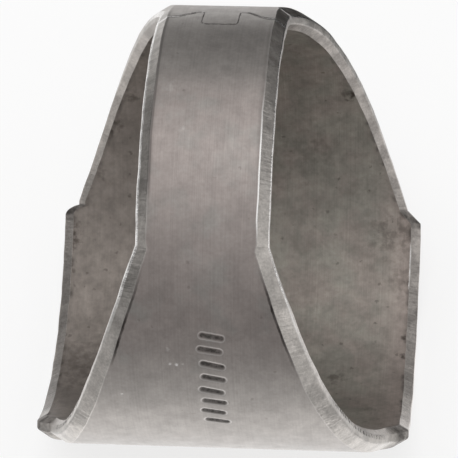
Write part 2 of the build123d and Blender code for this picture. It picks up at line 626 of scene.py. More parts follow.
def makeBushing(material):
    piece = sectionLoop()
    piece.name = "rolledBushing"
    line, slit = seamLine(), seamSection()
    tree = bushingTree()
    values = {
        "Seam Line": line,
        "Seam Section": slit,
        "Rows": int(sum(rows for _, rows in zoneRows())),
        "Strip Length": stripLength * mm,
        "Narrow Half": narrowHalf * mm,
        "Flare Half": flareHalf * mm,
        "Full Half": fullHalf * mm,
        "Bore Radius": boreRadius * mm,
        "Material": material,
    }
    modifier = piece.modifiers.new("rolledStrip", "NODES")
    modifier.node_group = tree
    for item in tree.interface.items_tree:
        if item.in_out == "INPUT" and item.name in values:
            modifier[item.identifier] = values[item.name]
    graph = bpy.context.evaluated_depsgraph_get()
    mesh = bpy.data.meshes.new_from_object(piece.evaluated_get(graph))
    piece.modifiers.remove(modifier)
    piece.data = mesh
    for helper in (line, slit):
        bpy.data.objects.remove(helper)
    print("bushing rolled:", len(mesh.polygons), "faces")
    return piece


# Its steel: the bare finishes first, then what oil, dirt and rubbing left on them, and painted shade and
# painted highlights

steel = {
    "face": "#a69d99",         # outside, as rolled and brushed, a little warm
    "faceTint": "#a29d99",     # cooler patches in it
    "bore": "#98948c",         # reamed inside, dulled by old oil
    "boreTint": "#9b8f89",     # where the oil has browned
    "filed": "#b9b4af",        # outer bevels and cut faces
    "innerBevel": "#ada7a2",
    "glintAndWear": "#faf8f6",         # painted highlights along the corners and at the mitre; punch mark rims, seam ends and scratches rubbed bright
    "stain": "#463d37",
    # dirt, and painted shade at the seam, the shoulders and beside the bevels
    "dirtAndShade": "#2b2725",
    "boreMetal": 0.75,         # share of bare metal left in the bore
    "roughness": {"outside": 0.38, "bore": 0.5, "edges": 0.34, "corners": 0.22, "mitreGlint": 1.0},
    "dirtAndShadeRoughness": 0.3,      # what the dirt and painted shade add to it
    "relief": (0.006, 0.03),   # mm, height of the brush lines and of the file marks
    "drawn": (1.0, 0.015, 0.015),  # brush lines are drawn out round the bore
    "filing": (0.12, 1.0, 0.12),   # file marks are drawn out across the edges
    "lineTones": (0.957, 1.043),   # of both
    "patchRoughness": 0.55,    # of the noise that the patches come from
    "boreSideLight": (0.89, 1.09),     # painted shade on the bore's left wall and painted light on its right wall
    "boreShadeTone": 0.76,         # of the bore where its painted shade is darkest
    "facetAndShadeTones": (0.9, 0.78),     # the dullest filed facets, and darker still on the far right with painted shade
    "seamEndShare": 0.8,       # how bright the seam's ends are rubbed on the bevels
    "rimShare": 0.22,          # and the rims of the punch marks
    "glintReach": (0.4, 0.15),      # mm, of the painted highlight lines along the left and the right cut face
    "glintShares": (0.1, 1.0),     # the line where the outer bevel starts, least and most
    "spotStart": -0.3,         # of a spot's size, where its edge starts to fade
    "speckSpacing": 1.2,       # mm
    "speckChances": (0.86, 0.5),   # outside and in the bore, lower for more specks
    "speckShares": (0.25, 0.45),   # how dark they are, outside and in the bore
}

browned = [                    # brown in the bore: mm across where it is full and ends, and its shares
    (-10.0, -4.0, 0.58, 0.0),
    (18.5, 13.5, 0.8, 0.0),
]

shadedFaceParts = [                    # painted shade on parts of the outside: degrees round, mm across from none to full, tone
    ((15.0, 28.0, 52.0, 66.0), (1.0, -6.0), 0.91),
    ((24.0, 36.0, 72.0, 84.0), (0.5, 4.5), 0.92),
    ((-27.0, -20.0, -5.0, 5.0), (-5.0, 0.0), 0.9),
]

paintedEdgeLight = [                  # painted shade and painted light on lengths of edge: degrees from the top, side, tone
    ((0.0, 12.0, 25.0, 44.0), "leftSide", 0.64),
    ((47.0, 54.0, 62.0, 71.0), "leftSide", 0.74),
    ((71.0, 84.0, 108.0, 120.0), "leftSide", 1.22),
    ((140.0, 147.0, 162.0, 170.0), "leftSide", 0.56),
    ((162.0, 170.0, 185.0, 196.0), "leftSide", 0.95),
    ((196.0, 203.0, 216.0, 224.0), "leftSide", 0.9),
    ((36.0, 40.0, 46.0, 54.0), "rightSide", 1.22),
    ((57.0, 61.0, 77.0, 86.0), "rightSide", 1.36),
    ((170.0, 177.0, 184.0, 191.0), "rightSide", 1.2),
]

stains = [                     # in the bore: mm across, degrees round, how far it reaches in mm, strength
    (16.9, -142.3, 3.2, 0.42),
    (17.9, -157.0, 2.2, 0.35),
    (18.4, -157.7, 0.8, 0.8),
    (18.35, -175.5, 0.5, 0.8),
    (18.3, 177.8, 0.5, 0.8),
    (15.5, 151.6, 1.6, 0.3),
    (12.2, -96.6, 1.1, 0.95),
    (7.0, -118.0, 3.4, 0.22),
    (13.6, -126.0, 2.6, 0.15),
    (11.2, 168.1, 1.3, 0.5),
    (8.3, -114.7, 1.4, 0.25),
    (-11.7, -98.9, 0.9, 0.6),
    (-13.7, -109.5, 0.9, 0.6),
    (-14.5, -112.3, 0.7, 0.7),
    (-15.9, -126.2, 1.0, 0.5),
    (-18.35, -141.8, 0.7, 0.7),
    (-18.3, -144.4, 0.8, 0.85),
    (-18.25, -147.0, 0.8, 0.85),
    (-18.2, -148.8, 0.6, 0.8),
    (-16.2, 170.0, 5.5, 0.4),
    (-14.0, -176.0, 2.6, 0.2),
]

scratches = [                  # bright specks outside, given in the same way
    (-3.25, 75.5, 0.2, 0.8),
    (-2.6, 75.7, 0.24, 0.9),
    (-1.95, 75.6, 0.2, 0.7),
    (-3.5, 70.7, 0.34, 0.4),
    (-8.35, 86.5, 0.18, 0.7),
    (-3.9, 1.5, 0.9, 0.14),
    (-2.3, 14.0, 0.5, 0.18),
]

patterns = {                   # uneven patches: mm, the noise's two levels, its detail, and the values there
    "cloud": (8.0, 0.3, 0.7, 2.0, 0.96, 1.04),
    "blotch": (1.5, 0.3, 0.7, 4.0, 0.93, 1.07),
    "grain": (0.35, 0.25, 0.75, 3.0, 0.95, 1.05),
    "boreCloud": (4.0, 0.3, 0.7, 3.0, 0.92, 1.08),
    "boreMottle": (0.9, 0.3, 0.65, 5.0, 0.9, 1.07),
    "brushing": (0.16, 0.25, 0.75, 2.0, 0.0, 1.0),
    "fileMarks": (0.3, 0.25, 0.75, 3.0, 0.0, 1.0),
    "sand": (0.22, 0.25, 0.75, 2.0, 0.87, 1.11),
    "facets": (2.0, 0.43, 0.57, 2.0, 0.9, 1.07),
    "tint": (3.5, 0.45, 0.7, 3.0, 0.0, 1.0),
    "brown": (3.0, 0.35, 0.65, 3.0, 0.0, 0.55),
    "rust": (1.0, 0.3, 0.7, 4.0, 0.05, 0.45),
    "spotEdge": (0.8, 0.3, 0.7, 4.0, -0.6, 0.6),
    "speckSize": (0.5, 0.3, 0.7, 3.0, -0.04, 0.27),
    "glintPatches": (1.2, 0.3, 0.7, 3.0, 0.45, 1.0),
    "boreGlintPatches": (0.5, 0.3, 0.6, 3.0, 0.4, 0.9),
    "seamShadeAndGrimeEdge": (0.5, 0.3, 0.7, 3.0, -0.025, 0.03),
    "seamShadeAndDirt": (1.3, 0.3, 0.6, 2.0, 0.6, 1.0),
    "dentDirt": (0.4, 0.3, 0.7, 3.0, 0.6, 1.0),
    "shoulderDarkening": (0.9, 0.3, 0.7, 3.0, 0.3, 0.75),
    "gashDirt": (0.8, 0.35, 0.6, 3.0, 0.25, 0.95),
    "lineDirt": (1.4, 0.46, 0.68, 5.0, 0.08, 0.6),
    "burrEdge": (0.6, 0.3, 0.7, 4.0, -0.03, 0.04),
    "burrShadowAndDirt": (2.5, 0.3, 0.7, 3.0, 0.45, 0.95),
    "polish": (1.2, 0.3, 0.7, 3.0, 0.92, 1.1),
}

stretches = {                  # degrees round where something starts, is full, wanes and ends
    "boreShade": (60.0, 110.0, 150.0, 188.0),        # from the top: painted shade in the lower bore
    "coolTop": (-50.0, -30.0, -8.0, 8.0),            # the outside has little warmth
    "shoulder": (134.5, 136.5, 139.5, 141.0),        # on both sides: darker on the cut faces at the shoulders
    "mitreGlint": (-45.2, -44.6, -43.6, -43.0),          # painted highlight on the right bevel where the flare starts on the far side
    "browning": (-60.0, -50.0, -10.0, 10.0),         # the band's right bevel has browned
    "burr": (48.0, 56.0, 69.0, 79.0),                # on both sides: painted burr shadow with some dirt below the filed edges
    "glint": (-2.0, 22.0, 36.0, 44.0),               # the right bevel's upper corner is brightest
    "boreGlint": (-160.0, -157.0, -147.0, -144.0),   # painted highlight along the bore's right edge
    "gashes": (90.0, 94.0, 124.0, 130.0),            # the gashes are dirty
    "rim": (-0.045, -0.025, -0.008, -0.001),         # mm below the face: a punch mark's rim is rubbed
}

ramps = {                      # shares: where they start to change and end, and their values there
    "outerHalf": (1.1, 1.3, 0.0, 1.0),               # through the wall
    "nearBore": (0.0, 0.3, 1.0, 0.0),
    "unfiled": (-0.06, 0.02, 0.0, 1.0),              # beyond a bevel's end
    "filed": (-0.06, 0.02, 1.0, 0.0),
    "cutFace": (0.55, 0.7, 0.0, 1.0),                # through the wall, above the inner bevel
    "rightSide": (-2.0, 2.0, 0.0, 1.0),              # across
    "farSide": (-20.0, 0.0, 1.0, 0.0),               # round
    "cool": (60.0, 88.0, 0.0, 1.0),                  # round, where the outside loses its warmth
    "seamShadeAndGrime": (0.0315, 0.105, 0.8, 0.0),          # from the seam
    "spread": (2.0, 2.8, 1.2, 0.62),                 # across: the grime and painted shade are narrower beside the tab
    "besideTab": (2.0, 2.8, 0.75, 1.0),              # and stronger away from it
    "dent": (-0.12, -0.03, 0.8, 0.0),                # below the face
    "glintFade": (50.0, 78.0, 1.0, 0.08),               # round, where the painted highlight lines fade
    "cutLine": (-0.05, 0.03, 1.0, 0.0),              # beyond the painted highlight line's reach
    "faceLine": (0.03, 0.09, 1.0, 0.0),              # from the corner where the outer bevel starts
    "nearOutside": (ring["wall"] - 0.15, ring["wall"] - 0.05, 0.0, 1.0),
    "seamEnd": (0.07, 0.14, 1.0, 0.0),               # from the seam
    "boreCorner": (0.1, 0.2, 1.0, 0.0),              # through the wall
    "boreLine": (0.02, 0.1, 1.0, 0.0),               # from the corner where the inner bevel starts
    "boreRight": (0.0, 1.0, 0.0, 1.0),               # across
    "tick": (0.05, 0.15, 1.0, 0.0),                  # along the gashes, from the middle of each
    "tickHeight": (0.14, 0.32, 1.0, 0.0),
    "boreSkin": (0.05, 0.2, 1.0, 0.0),               # through the wall
    "boreDirt": (0.0, 0.5, 1.0, 0.0),                # beyond the inner bevel
    "boreDirtFrom": (-0.08, 0.0, 0.0, 1.0),
    "edgeShadeTop": (ring["wall"] - 0.1, ring["wall"] - 0.03, 0.0, 1.0),
    "softShade": (0.0, 0.4, 0.2, 0.0),                # beyond the outer bevel
    "softShadeTo": (20.0, 35.0, 1.0, 0.0),            # round
    "burrLine": (0.16, 0.36, 1.0, 0.0),              # beyond the outer bevel
    "edgeShadeFrom": (-0.05, 0.0, 0.0, 1.0),
    "cornerShade": (0.05, 0.24, 0.5, 0.0),            # from the corner where the outer bevel starts
    "cornerShadeTo": (26.0, 38.0, 1.0, 0.0),          # round
    "speck": (-0.12, 0.06, 1.0, 0.0),                # beyond a speck's edge
}


def patches(tree, place, name, least=None):
    # uneven patches that fade between two levels of a noise; least can replace the first value
    size, low, high, detail, first, last = patterns[name]
    noise = addNode(tree, "ShaderNodeTexNoise", {"noise_dimensions": "3D"}, {
        "Vector": place, "Scale": 1 / size, "Detail": detail, "Roughness": steel["patchRoughness"],
    })
    return addNode(tree, "ShaderNodeMapRange", {"interpolation_type": "SMOOTHSTEP"}, {
        "Value": noise.outputs["Fac"], "From Min": low, "From Max": high,
        "To Min": first if least is None else least, "To Max": last,
    })


def fade(tree, value, limits):
    # share that changes smoothly, by the name of a ramp or by four values
    start, end, first, last = ramps[limits] if isinstance(limits, str) else limits
    return addNode(tree, "ShaderNodeMapRange", {"interpolation_type": "SMOOTHSTEP"}, {
        "Value": value, "From Min": start, "From Max": end, "To Min": first, "To Max": last,
    })


def within(tree, value, limits):
    # 1 between the middle limits, fading to 0 at the outer ones, by the name of a stretch or by four values
    start, full, wane, end = stretches[limits] if isinstance(limits, str) else limits
    return product(tree, fade(tree, value, (start, full, 0.0, 1.0)), fade(tree, value, (wane, end, 1.0, 0.0)))


def layered(tree, colour, layers):
    # each layer covers those before it, by its share
    for share, cover in layers:
        colour = addNode(tree, "ShaderNodeMix", {"data_type": "RGBA"}, {
            "Factor": share, "A": colour, "B": cover,
        }).outputs["Result"]
    return colour


def placesInSteel(tree):
    # where each point lies, in mm and degrees: on the object for what mottles it, or on the flat strip
    coordinates = addNode(tree, "ShaderNodeTexCoord").outputs["Object"]
    kept = {
        name: addNode(tree, "ShaderNodeAttribute", {"attribute_name": name}).outputs
        for name in ("stripPlace", "fromEdge", "seamNear", "dented")
    }
    at = {}
    for name, vector in (("place", coordinates), ("strip", kept["stripPlace"]["Vector"])):
        at[name] = addNode(tree, "ShaderNodeVectorMath", {"operation": "SCALE"}, {
            "Vector": vector, "Scale": 1 / mm,
        })
    for name in ("fromEdge", "seamNear", "dented"):
        at[name] = addNode(tree, "ShaderNodeMath", {"operation": "DIVIDE"}, [kept[name]["Fac"], mm])
    parts = addNode(tree, "ShaderNodeSeparateXYZ", inputs=[at["strip"]]).outputs
    at["across"], at["along"], at["through"] = (parts[axis] for axis in "XYZ")
    at["turn"] = addNode(tree, "ShaderNodeMapRange", {"clamp": False}, {
        "Value": at["along"], "From Min": 0, "From Max": stripLength, "To Min": -180, "To Max": 180,
    })
    at["fromBand"] = addNode(tree, "ShaderNodeMath", {"operation": "ABSOLUTE"}, [at["turn"]])
    at["fromTop"] = addNode(tree, "ShaderNodeMath", {"operation": "WRAP"}, [at["turn"], 360.0, 0.0])
    at["rightSide"] = fade(tree, at["across"], "rightSide")
    at["leftSide"] = addNode(tree, "ShaderNodeMath", {"operation": "SUBTRACT"}, [1.0, at["rightSide"]])

    # which finish shows: outside, bore, or a filed edge
    at["outerHalf"] = fade(tree, at["through"], "outerHalf")
    bevelEnd = addNode(tree, "ShaderNodeMapRange", inputs={
        "Value": at["outerHalf"], "To Min": ring["innerBevel"][0], "To Max": ring["outerBevel"][0],
    })
    at["beyond"] = addNode(tree, "ShaderNodeMath", {"operation": "SUBTRACT"}, [at["fromEdge"], bevelEnd])
    at["corner"] = addNode(tree, "ShaderNodeMath", {"operation": "ABSOLUTE"}, [at["beyond"]])
    at["filed"] = fade(tree, at["beyond"], "filed")
    at["unfiled"] = fade(tree, at["beyond"], "unfiled")
    at["inBore"] = product(tree, fade(tree, at["through"], "nearBore"), at["unfiled"])
    at["rightBevel"] = product(tree, at["filed"], at["outerHalf"], at["rightSide"])
    return at


def steelTone(tree, at):
    # mottling, brush lines round the ring and file marks across the edges, with painted shade and painted
    # light in the bore, on the filed edges and on parts of the outside; also what stands out as relief
    place, filed = at["place"], at["filed"]
    # painted shade darkens the lower bore; its left wall gets painted shade and its right wall painted light
    boreShaded = addNode(tree, "ShaderNodeMapRange", inputs={
        "Value": within(tree, at["fromTop"], "boreShade"), "To Min": 1.0, "To Max": steel["boreShadeTone"],
    })
    onLeft, onRight = steel["boreSideLight"]
    sideLight = addNode(tree, "ShaderNodeMapRange", inputs={
        "Value": at["rightSide"], "To Min": onLeft, "To Max": onRight,
    })
    bore = product(tree, patches(tree, place, "boreCloud"), patches(tree, place, "boreMottle"), boreShaded, sideLight)

    # painted shade on the far right of the filed edges
    onFarRight = product(tree, fade(tree, at["turn"], "farSide"), at["rightSide"])
    dullest, farRightShade = steel["facetAndShadeTones"]
    least = addNode(tree, "ShaderNodeMapRange", inputs={
        "Value": onFarRight, "To Min": dullest, "To Max": farRightShade,
    })
    # the filed edges carry painted shade and painted light along their length
    edges = product(
        tree, patches(tree, place, "sand"), patches(tree, place, "facets", least), paintedEdgeTone(tree, at)
    )
    bore, edges = (
        addNode(tree, "ShaderNodeMix", {"data_type": "FLOAT"}, {"Factor": share, "A": 1.0, "B": tone})
        for share, tone in ((at["inBore"], bore), (filed, edges))
    )

    brushed = addNode(tree, "ShaderNodeVectorMath", {"operation": "MULTIPLY"}, [place, steel["drawn"]])
    filing = addNode(tree, "ShaderNodeVectorMath", {"operation": "MULTIPLY"}, [at["strip"], steel["filing"]])
    lines = addNode(tree, "ShaderNodeMix", {"data_type": "FLOAT"}, {
        "Factor": filed, "A": patches(tree, brushed, "brushing"), "B": patches(tree, filing, "fileMarks"),
    })
    dark, light = steel["lineTones"]
    lineTone = addNode(tree, "ShaderNodeMapRange", inputs={"Value": lines, "To Min": dark, "To Max": light})
    mottles = [patches(tree, place, name) for name in ("cloud", "blotch", "grain")]
    tone = product(tree, *mottles, bore, edges, lineTone, paintedFaceShade(tree, at))
    return tone, addNode(tree, "ShaderNodeMath", {"operation": "ADD"}, [lines, edges])


def paintedFaceShade(tree, at):
    # painted shade on parts of the outside
    tones = []
    for limits, (start, full), tone in shadedFaceParts:
        beside = fade(tree, at["across"], (start, full, 0.0, 1.0))
        tones.append((product(tree, within(tree, at["turn"], limits), beside, at["outerHalf"]), tone))
    return toned(tree, tones)


def paintedEdgeTone(tree, at):
    # painted shade and painted light along the filed edges
    return toned(tree, [
        (product(tree, within(tree, at["fromTop"], limits), at[side]), tone)
        for limits, side, tone in paintedEdgeLight
    ])


def toned(tree, tones):
    # each share brings its tone
    return product(tree, *(
        addNode(tree, "ShaderNodeMapRange", inputs={"Value": share, "To Min": 1.0, "To Max": tone})
        for share, tone in tones
    ))


def spotShare(tree, at, spots, level):
    # each spot is a ragged round patch, at this height in the wall
    ragged = patches(tree, at["place"], "spotEdge")
    shares = []
    for across, angle, size, strength in spots:
        middle = Vector((across, stripPlace(angle), level))
        away = addNode(tree, "ShaderNodeVectorMath", {"operation": "DISTANCE"}, [at["strip"], middle])
        away = addNode(tree, "ShaderNodeMath", {"operation": "MULTIPLY_ADD"}, [
            ragged, size, away.outputs["Value"],
        ])
        shares.append(fade(tree, away, (steel["spotStart"] * size, size, strength, 0.0)))
    return greatest(tree, *shares)


def speckShare(tree, at):
    # small dark specks, more of them in the bore
    cells = addNode(tree, "ShaderNodeTexVoronoi", {"voronoi_dimensions": "3D"}, {
        "Vector": at["place"], "Scale": 1 / steel["speckSpacing"], "Randomness": 1.0,
    }).outputs
    chance = addNode(tree, "ShaderNodeSeparateColor", inputs=[cells["Color"]])
    needed, strength = (
        addNode(tree, "ShaderNodeMapRange", inputs={
            "Value": at["inBore"], "To Min": outside, "To Max": inside,
        })
        for outside, inside in (steel["speckChances"], steel["speckShares"])
    )
    chosen = addNode(tree, "ShaderNodeMath", {"operation": "GREATER_THAN"}, [chance, needed])
    size = patches(tree, at["place"], "speckSize")
    room = addNode(tree, "ShaderNodeMath", {"operation": "SUBTRACT"}, [cells["Distance"], size])
    return product(tree, chosen, fade(tree, room, "speck"), strength)


def glintAndWearShare(tree, at):
    # painted highlights: bright lines along the corner above the cut face, and along the corner where the
    # outer bevel starts
    place, through, across = at["place"], at["through"], at["across"]
    uneven = product(tree, patches(tree, place, "glintPatches"), fade(tree, at["fromBand"], "glintFade"))
    right = addNode(tree, "ShaderNodeMath", {"operation": "GREATER_THAN"}, [across, 0.0])
    cutTop = ring["wall"] - ring["outerBevel"][1]
    height = addNode(tree, "ShaderNodeMath", {"operation": "SUBTRACT"}, [through, cutTop])
    offset = addNode(tree, "ShaderNodeCombineXYZ", inputs=[at["fromEdge"], height])
    away = addNode(tree, "ShaderNodeVectorMath", {"operation": "LENGTH"}, [offset]).outputs["Value"]
    onLeft, onRight = steel["glintReach"]
    width = addNode(tree, "ShaderNodeMapRange", inputs={"Value": right, "To Min": onLeft, "To Max": onRight})
    room = addNode(tree, "ShaderNodeMath", {"operation": "SUBTRACT"}, [away, width])
    atCut = product(tree, fade(tree, room, "cutLine"), uneven)

    onTop = fade(tree, through, "nearOutside")
    glint = product(tree, within(tree, at["turn"], "glint"), right)
    least, most = steel["glintShares"]
    strength = addNode(tree, "ShaderNodeMapRange", inputs={"Value": glint, "To Min": least, "To Max": most})
    atFace = product(tree, fade(tree, at["corner"], "faceLine"), onTop, strength)

    # a painted highlight on the right edge of the bore; the rims of the punch marks and the ends of the seam
    # on the bevels rubbed bright
    atBore = product(
        tree, fade(tree, through, "boreCorner"), fade(tree, at["corner"], "boreLine"),
        fade(tree, across, "boreRight"), within(tree, at["turn"], "boreGlint"),
        patches(tree, place, "boreGlintPatches"),
    )
    atRims = product(tree, within(tree, at["dented"], "rim"), onTop, steel["rimShare"])
    atEnds = product(tree, fade(tree, at["seamNear"], "seamEnd"), at["filed"], steel["seamEndShare"])
    scratched = product(tree, spotShare(tree, at, scratches, ring["wall"]), at["outerHalf"])
    return greatest(tree, atCut, atFace, atBore, atRims, atEnds, scratched)


def dirtAndShadeShare(tree, at):
    place, fromBand, beyond = at["place"], at["fromBand"], at["beyond"]

    # grime and painted shade in the seam, dirt in the punch marks, and darker cut faces on the shoulders
    ragged = patches(tree, place, "seamShadeAndGrimeEdge")
    ragged = addNode(tree, "ShaderNodeMath", {"operation": "ADD"}, [at["seamNear"], ragged])
    fromMiddle = addNode(tree, "ShaderNodeMath", {"operation": "ABSOLUTE"}, [at["across"]])
    narrowed = product(tree, ragged, fade(tree, fromMiddle, "spread"))
    inSeam = product(
        tree, fade(tree, narrowed, "seamShadeAndGrime"), at["unfiled"], fade(tree, fromMiddle, "besideTab"),
        patches(tree, place, "seamShadeAndDirt"),
    )
    inDent = product(tree, fade(tree, at["dented"], "dent"), patches(tree, place, "dentDirt"))
    onShoulder = product(
        tree, within(tree, fromBand, "shoulder"), at["filed"], patches(tree, place, "shoulderDarkening")
    )

    # the gashes hold it as a row of short dark ticks
    beat = addNode(tree, "ShaderNodeMath", {"operation": "PINGPONG"}, [at["along"], chatter["pitch"] / 2])
    height = addNode(tree, "ShaderNodeMath", {"operation": "SUBTRACT"}, [at["through"], chatter["height"]])
    height = addNode(tree, "ShaderNodeMath", {"operation": "ABSOLUTE"}, [height])
    inGashes = product(
        tree, fade(tree, beat, "tick"), fade(tree, height, "tickHeight"), within(tree, at["turn"], "gashes"),
        patches(tree, place, "gashDirt"), at["filed"],
    )

    # broken dark line in the bore next to the inner bevels
    inBore = product(
        tree, fade(tree, beyond, "boreDirt"), fade(tree, beyond, "boreDirtFrom"),
        fade(tree, at["through"], "boreSkin"), patches(tree, place, "lineDirt"),
    )

    # painted shade: a soft dark line on the outside next to each bevel, and a sharper painted burr shadow
    # with some dirt along the flares
    soft = product(tree, fade(tree, beyond, "softShade"), fade(tree, fromBand, "softShadeTo"))
    away = addNode(
        tree, "ShaderNodeMath", {"operation": "SUBTRACT"}, [beyond, patches(tree, place, "burrEdge")]
    )
    sharp = product(
        tree, fade(tree, away, "burrLine"), within(tree, fromBand, "burr"), patches(tree, place, "burrShadowAndDirt")
    )
    both = product(tree, greatest(tree, soft, sharp), fade(tree, beyond, "edgeShadeFrom"))
    # and painted shade over the corner itself at the left of the band
    onLeft = addNode(tree, "ShaderNodeMath", {"operation": "LESS_THAN"}, [at["across"], 0.0])
    line = product(tree, fade(tree, at["corner"], "cornerShade"), onLeft, fade(tree, fromBand, "cornerShadeTo"))
    edgeShade = product(tree, greatest(tree, both, line), fade(tree, at["through"], "edgeShadeTop"))
    return greatest(tree, inSeam, inDent, edgeShade, inBore, onShoulder, inGashes)


def steelMaterial():
    # cold rolled steel strip, reamed inside and filed along its edges: a dull, mottled grey metal with
    # wide soft reflections, stained inside, rubbed bright in places, with painted highlights at its corners
    # and painted shade in places
    material = bpy.data.materials.new("rolledSteel")
    tree = emptyTree(material)
    at = placesInSteel(tree)
    place = at["place"]
    tone, texture = steelTone(tree, at)
    # painted highlight along the mitre on the right bevel
    mitreGlintShare = product(tree, within(tree, at["turn"], "mitreGlint"), at["rightBevel"])
    browning = within(tree, at["turn"], "browning")
    rusty = product(tree, browning, at["rightBevel"], patches(tree, place, "rust"))
    # painted highlights along the corners and the mitre, with rims, seam ends and scratches rubbed bright
    glintAndWear = greatest(tree, glintAndWearShare(tree, at), mitreGlintShare)
    oily = product(tree, spotShare(tree, at, stains, 0.0), at["inBore"])
    stained = greatest(tree, oily, speckShare(tree, at), rusty)
    # dirt, with painted shade at the seam, the shoulders and beside the bevels
    dirtAndShade = dirtAndShadeShare(tree, at)

    # colour: metal first, then what covers it, with painted highlights and painted shade
    paint = {name: linearColour(value) for name, value in steel.items() if isinstance(value, str)}
    cool = greatest(
        tree, patches(tree, place, "tint"), fade(tree, at["turn"], "cool"),
        within(tree, at["turn"], "coolTop"),
    )
    sides = [fade(tree, at["across"], limits) for limits in browned]
    brown = greatest(tree, patches(tree, place, "brown"), *sides)
    face = layered(tree, paint["face"], [(cool, paint["faceTint"])])
    bore = layered(tree, paint["bore"], [(brown, paint["boreTint"])])
    edges = layered(tree, paint["innerBevel"], [(fade(tree, at["through"], "cutFace"), paint["filed"])])
    metal = layered(tree, face, [(at["inBore"], bore), (at["filed"], edges)])
    metal = addNode(tree, "ShaderNodeVectorMath", {"operation": "SCALE"}, {"Vector": metal, "Scale": tone})
    colour = layered(tree, metal, [(glintAndWear, paint["glintAndWear"]), (stained, paint["stain"]), (dirtAndShade, paint["dirtAndShade"])])

    roughness = steel["roughness"]["outside"]
    finishes = ((at["inBore"], "bore"), (at["filed"], "edges"), (glintAndWear, "corners"), (mitreGlintShare, "mitreGlint"))
    for share, name in finishes:
        roughness = addNode(tree, "ShaderNodeMix", {"data_type": "FLOAT"}, {
            "Factor": share, "A": roughness, "B": steel["roughness"][name],
        })
    polish, covered = patches(tree, place, "polish"), product(tree, dirtAndShade, steel["dirtAndShadeRoughness"])
    roughness = addNode(tree, "ShaderNodeMath", {"operation": "MULTIPLY_ADD"}, [roughness, polish, covered])

    brushHeight, fileHeight = (height * mm for height in steel["relief"])
    height = addNode(tree, "ShaderNodeMapRange", inputs={
        "Value": at["filed"], "To Min": brushHeight, "To Max": fileHeight,
    })
    relief = addNode(tree, "ShaderNodeBump", inputs={
        "Strength": 1.0, "Distance": 1.0, "Height": product(tree, texture, height),
    })
    metallic = addNode(tree, "ShaderNodeMapRange", inputs={
        "Value": at["inBore"], "To Min": 1.0, "To Max": steel["boreMetal"],
    })
    shader = addNode(tree, "ShaderNodeBsdfPrincipled", inputs={
        "Base Color": colour, "Metallic": metallic, "Roughness": roughness, "Normal": relief,
    })
    addNode(tree, "ShaderNodeOutputMaterial", inputs={"Surface": shader})
    return material


bushing = makeBushing(steelMaterial())
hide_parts("bushing")
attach(bushing, "root")


# Camera: where the photograph was taken from

view = {
    "turn": 8.522,             # degrees round to the right of the front
    "height": 50.921,          # degrees above the horizon
    "roll": -5.159,
    "distance": 382.04,
    "target": (0.537, 0.0, -0.334),
    "lens": 287.85,
    "sensor": 36.0,
    "nearest": 10.0,           # mm from the camera where it starts to see
}


def addCamera():
    turn, height, roll = (radians(view[k]) for k in ("turn", "height", "roll"))
    outward = Vector((sin(turn) * cos(height), -cos(turn) * cos(height), sin(height)))
    right = Vector((cos(turn), sin(turn), 0))
    up = outward.cross(right)
    x = right * cos(roll) + up * sin(roll)
    y = up * cos(roll) - right * sin(roll)
    data = bpy.data.cameras.new("camera")
    data.lens = view["lens"]
    data.sensor_width = view["sensor"]
    camera = bpy.data.objects.new("camera", data)
    place = (Vector(view["target"]) + outward * view["distance"]) * mm
    camera.matrix_world = Matrix.Translation(place) @ Matrix((x, y, outward)).transposed().to_4x4()
    data.clip_start = view["nearest"] * mm
    bpy.context.scene.collection.objects.link(camera)
    bpy.context.scene.camera = camera


# Studio: a white table under a wide soft lamp, with grey screens that only reflections show

studio = {
    "tableSize": 3000.0,       # mm
    "tableWhite": "#ffffff",
    "tableGlow": 0.7,          # share of the table's white that doesn't take the shadow
    "ambient": 0.85,
    "lampSize": 1000.0,
    "lampPlace": (-150.0, 150.0, 800.0),
    "lampWatts": 2.4,
    "screenRadius": 700.0,
    "screenSteps": 12,
    "brightest": 2.0,          # level that a screen can reach
    "apronLift": 0.3,
}

screens = {                    # degrees round from +X, from and to, then levels by degrees of height
    "frontScreen": (-150.0, -50.0, [(0.0, 0.36), (20.0, 0.46), (40.0, 0.62), (58.0, 0.85), (82.0, 1.0)]),
    "backScreen": (70.0, 150.0, [(0.0, 0.3), (30.0, 0.36), (45.0, 0.52), (60.0, 0.85), (82.0, 1.0)]),
    "cornerScreen": (8.0, 48.0, [
        (0.0, 0.08), (18.0, 0.13), (25.0, 0.27), (34.0, 0.62), (60.0, 0.75), (82.0, 1.0),
    ]),
    "besideScreen": (48.0, 70.0, [
        (0.0, 0.08), (9.0, 0.24), (15.0, 0.4), (40.0, 0.6), (60.0, 0.75), (82.0, 1.0),
    ]),
    "leftScreen": (150.0, 210.0, [(13.0, 0.2), (30.0, 0.25), (45.0, 0.5), (60.0, 0.75), (82.0, 1.0)]),
}

aprons = {                     # on the table and seen only in reflections: mm along X from and to, then levels by mm along Y; the back one is a painted shadow, and the front one is painted shade far off and brighter near the object
    # painted shade on the floor far in front, brighter near the object
    "frontApron": (-24.0, 24.0, [
        (-700, 0.34), (-180, 0.4), (-68, 0.6), (-40, 1.02), (-30, 1.3), (-12, 1.42), (2, 1.3), (18, 0.9),
    ]),
    "leftApron": (-350.0, -24.0, [(-700, 0.36), (-180, 0.42), (-60, 0.5), (-15, 0.5)]),
    "rightApron": (24.0, 350.0, [(-700, 0.36), (-180, 0.42), (-60, 0.6), (-15, 0.7)]),
    # painted shadow on the floor behind on the right
    "backApron": (2.0, 200.0, [(50.0, 0.5), (62.0, 0.1), (300.0, 0.1)]),
}


def seenDirectly(tree):
    # 1 for rays from the camera and for those that a polished face sends on
    path = addNode(tree, "ShaderNodeLightPath").outputs
    return greatest(tree, *(path["Is " + kind + " Ray"] for kind in ("Camera", "Glossy", "Transmission")))


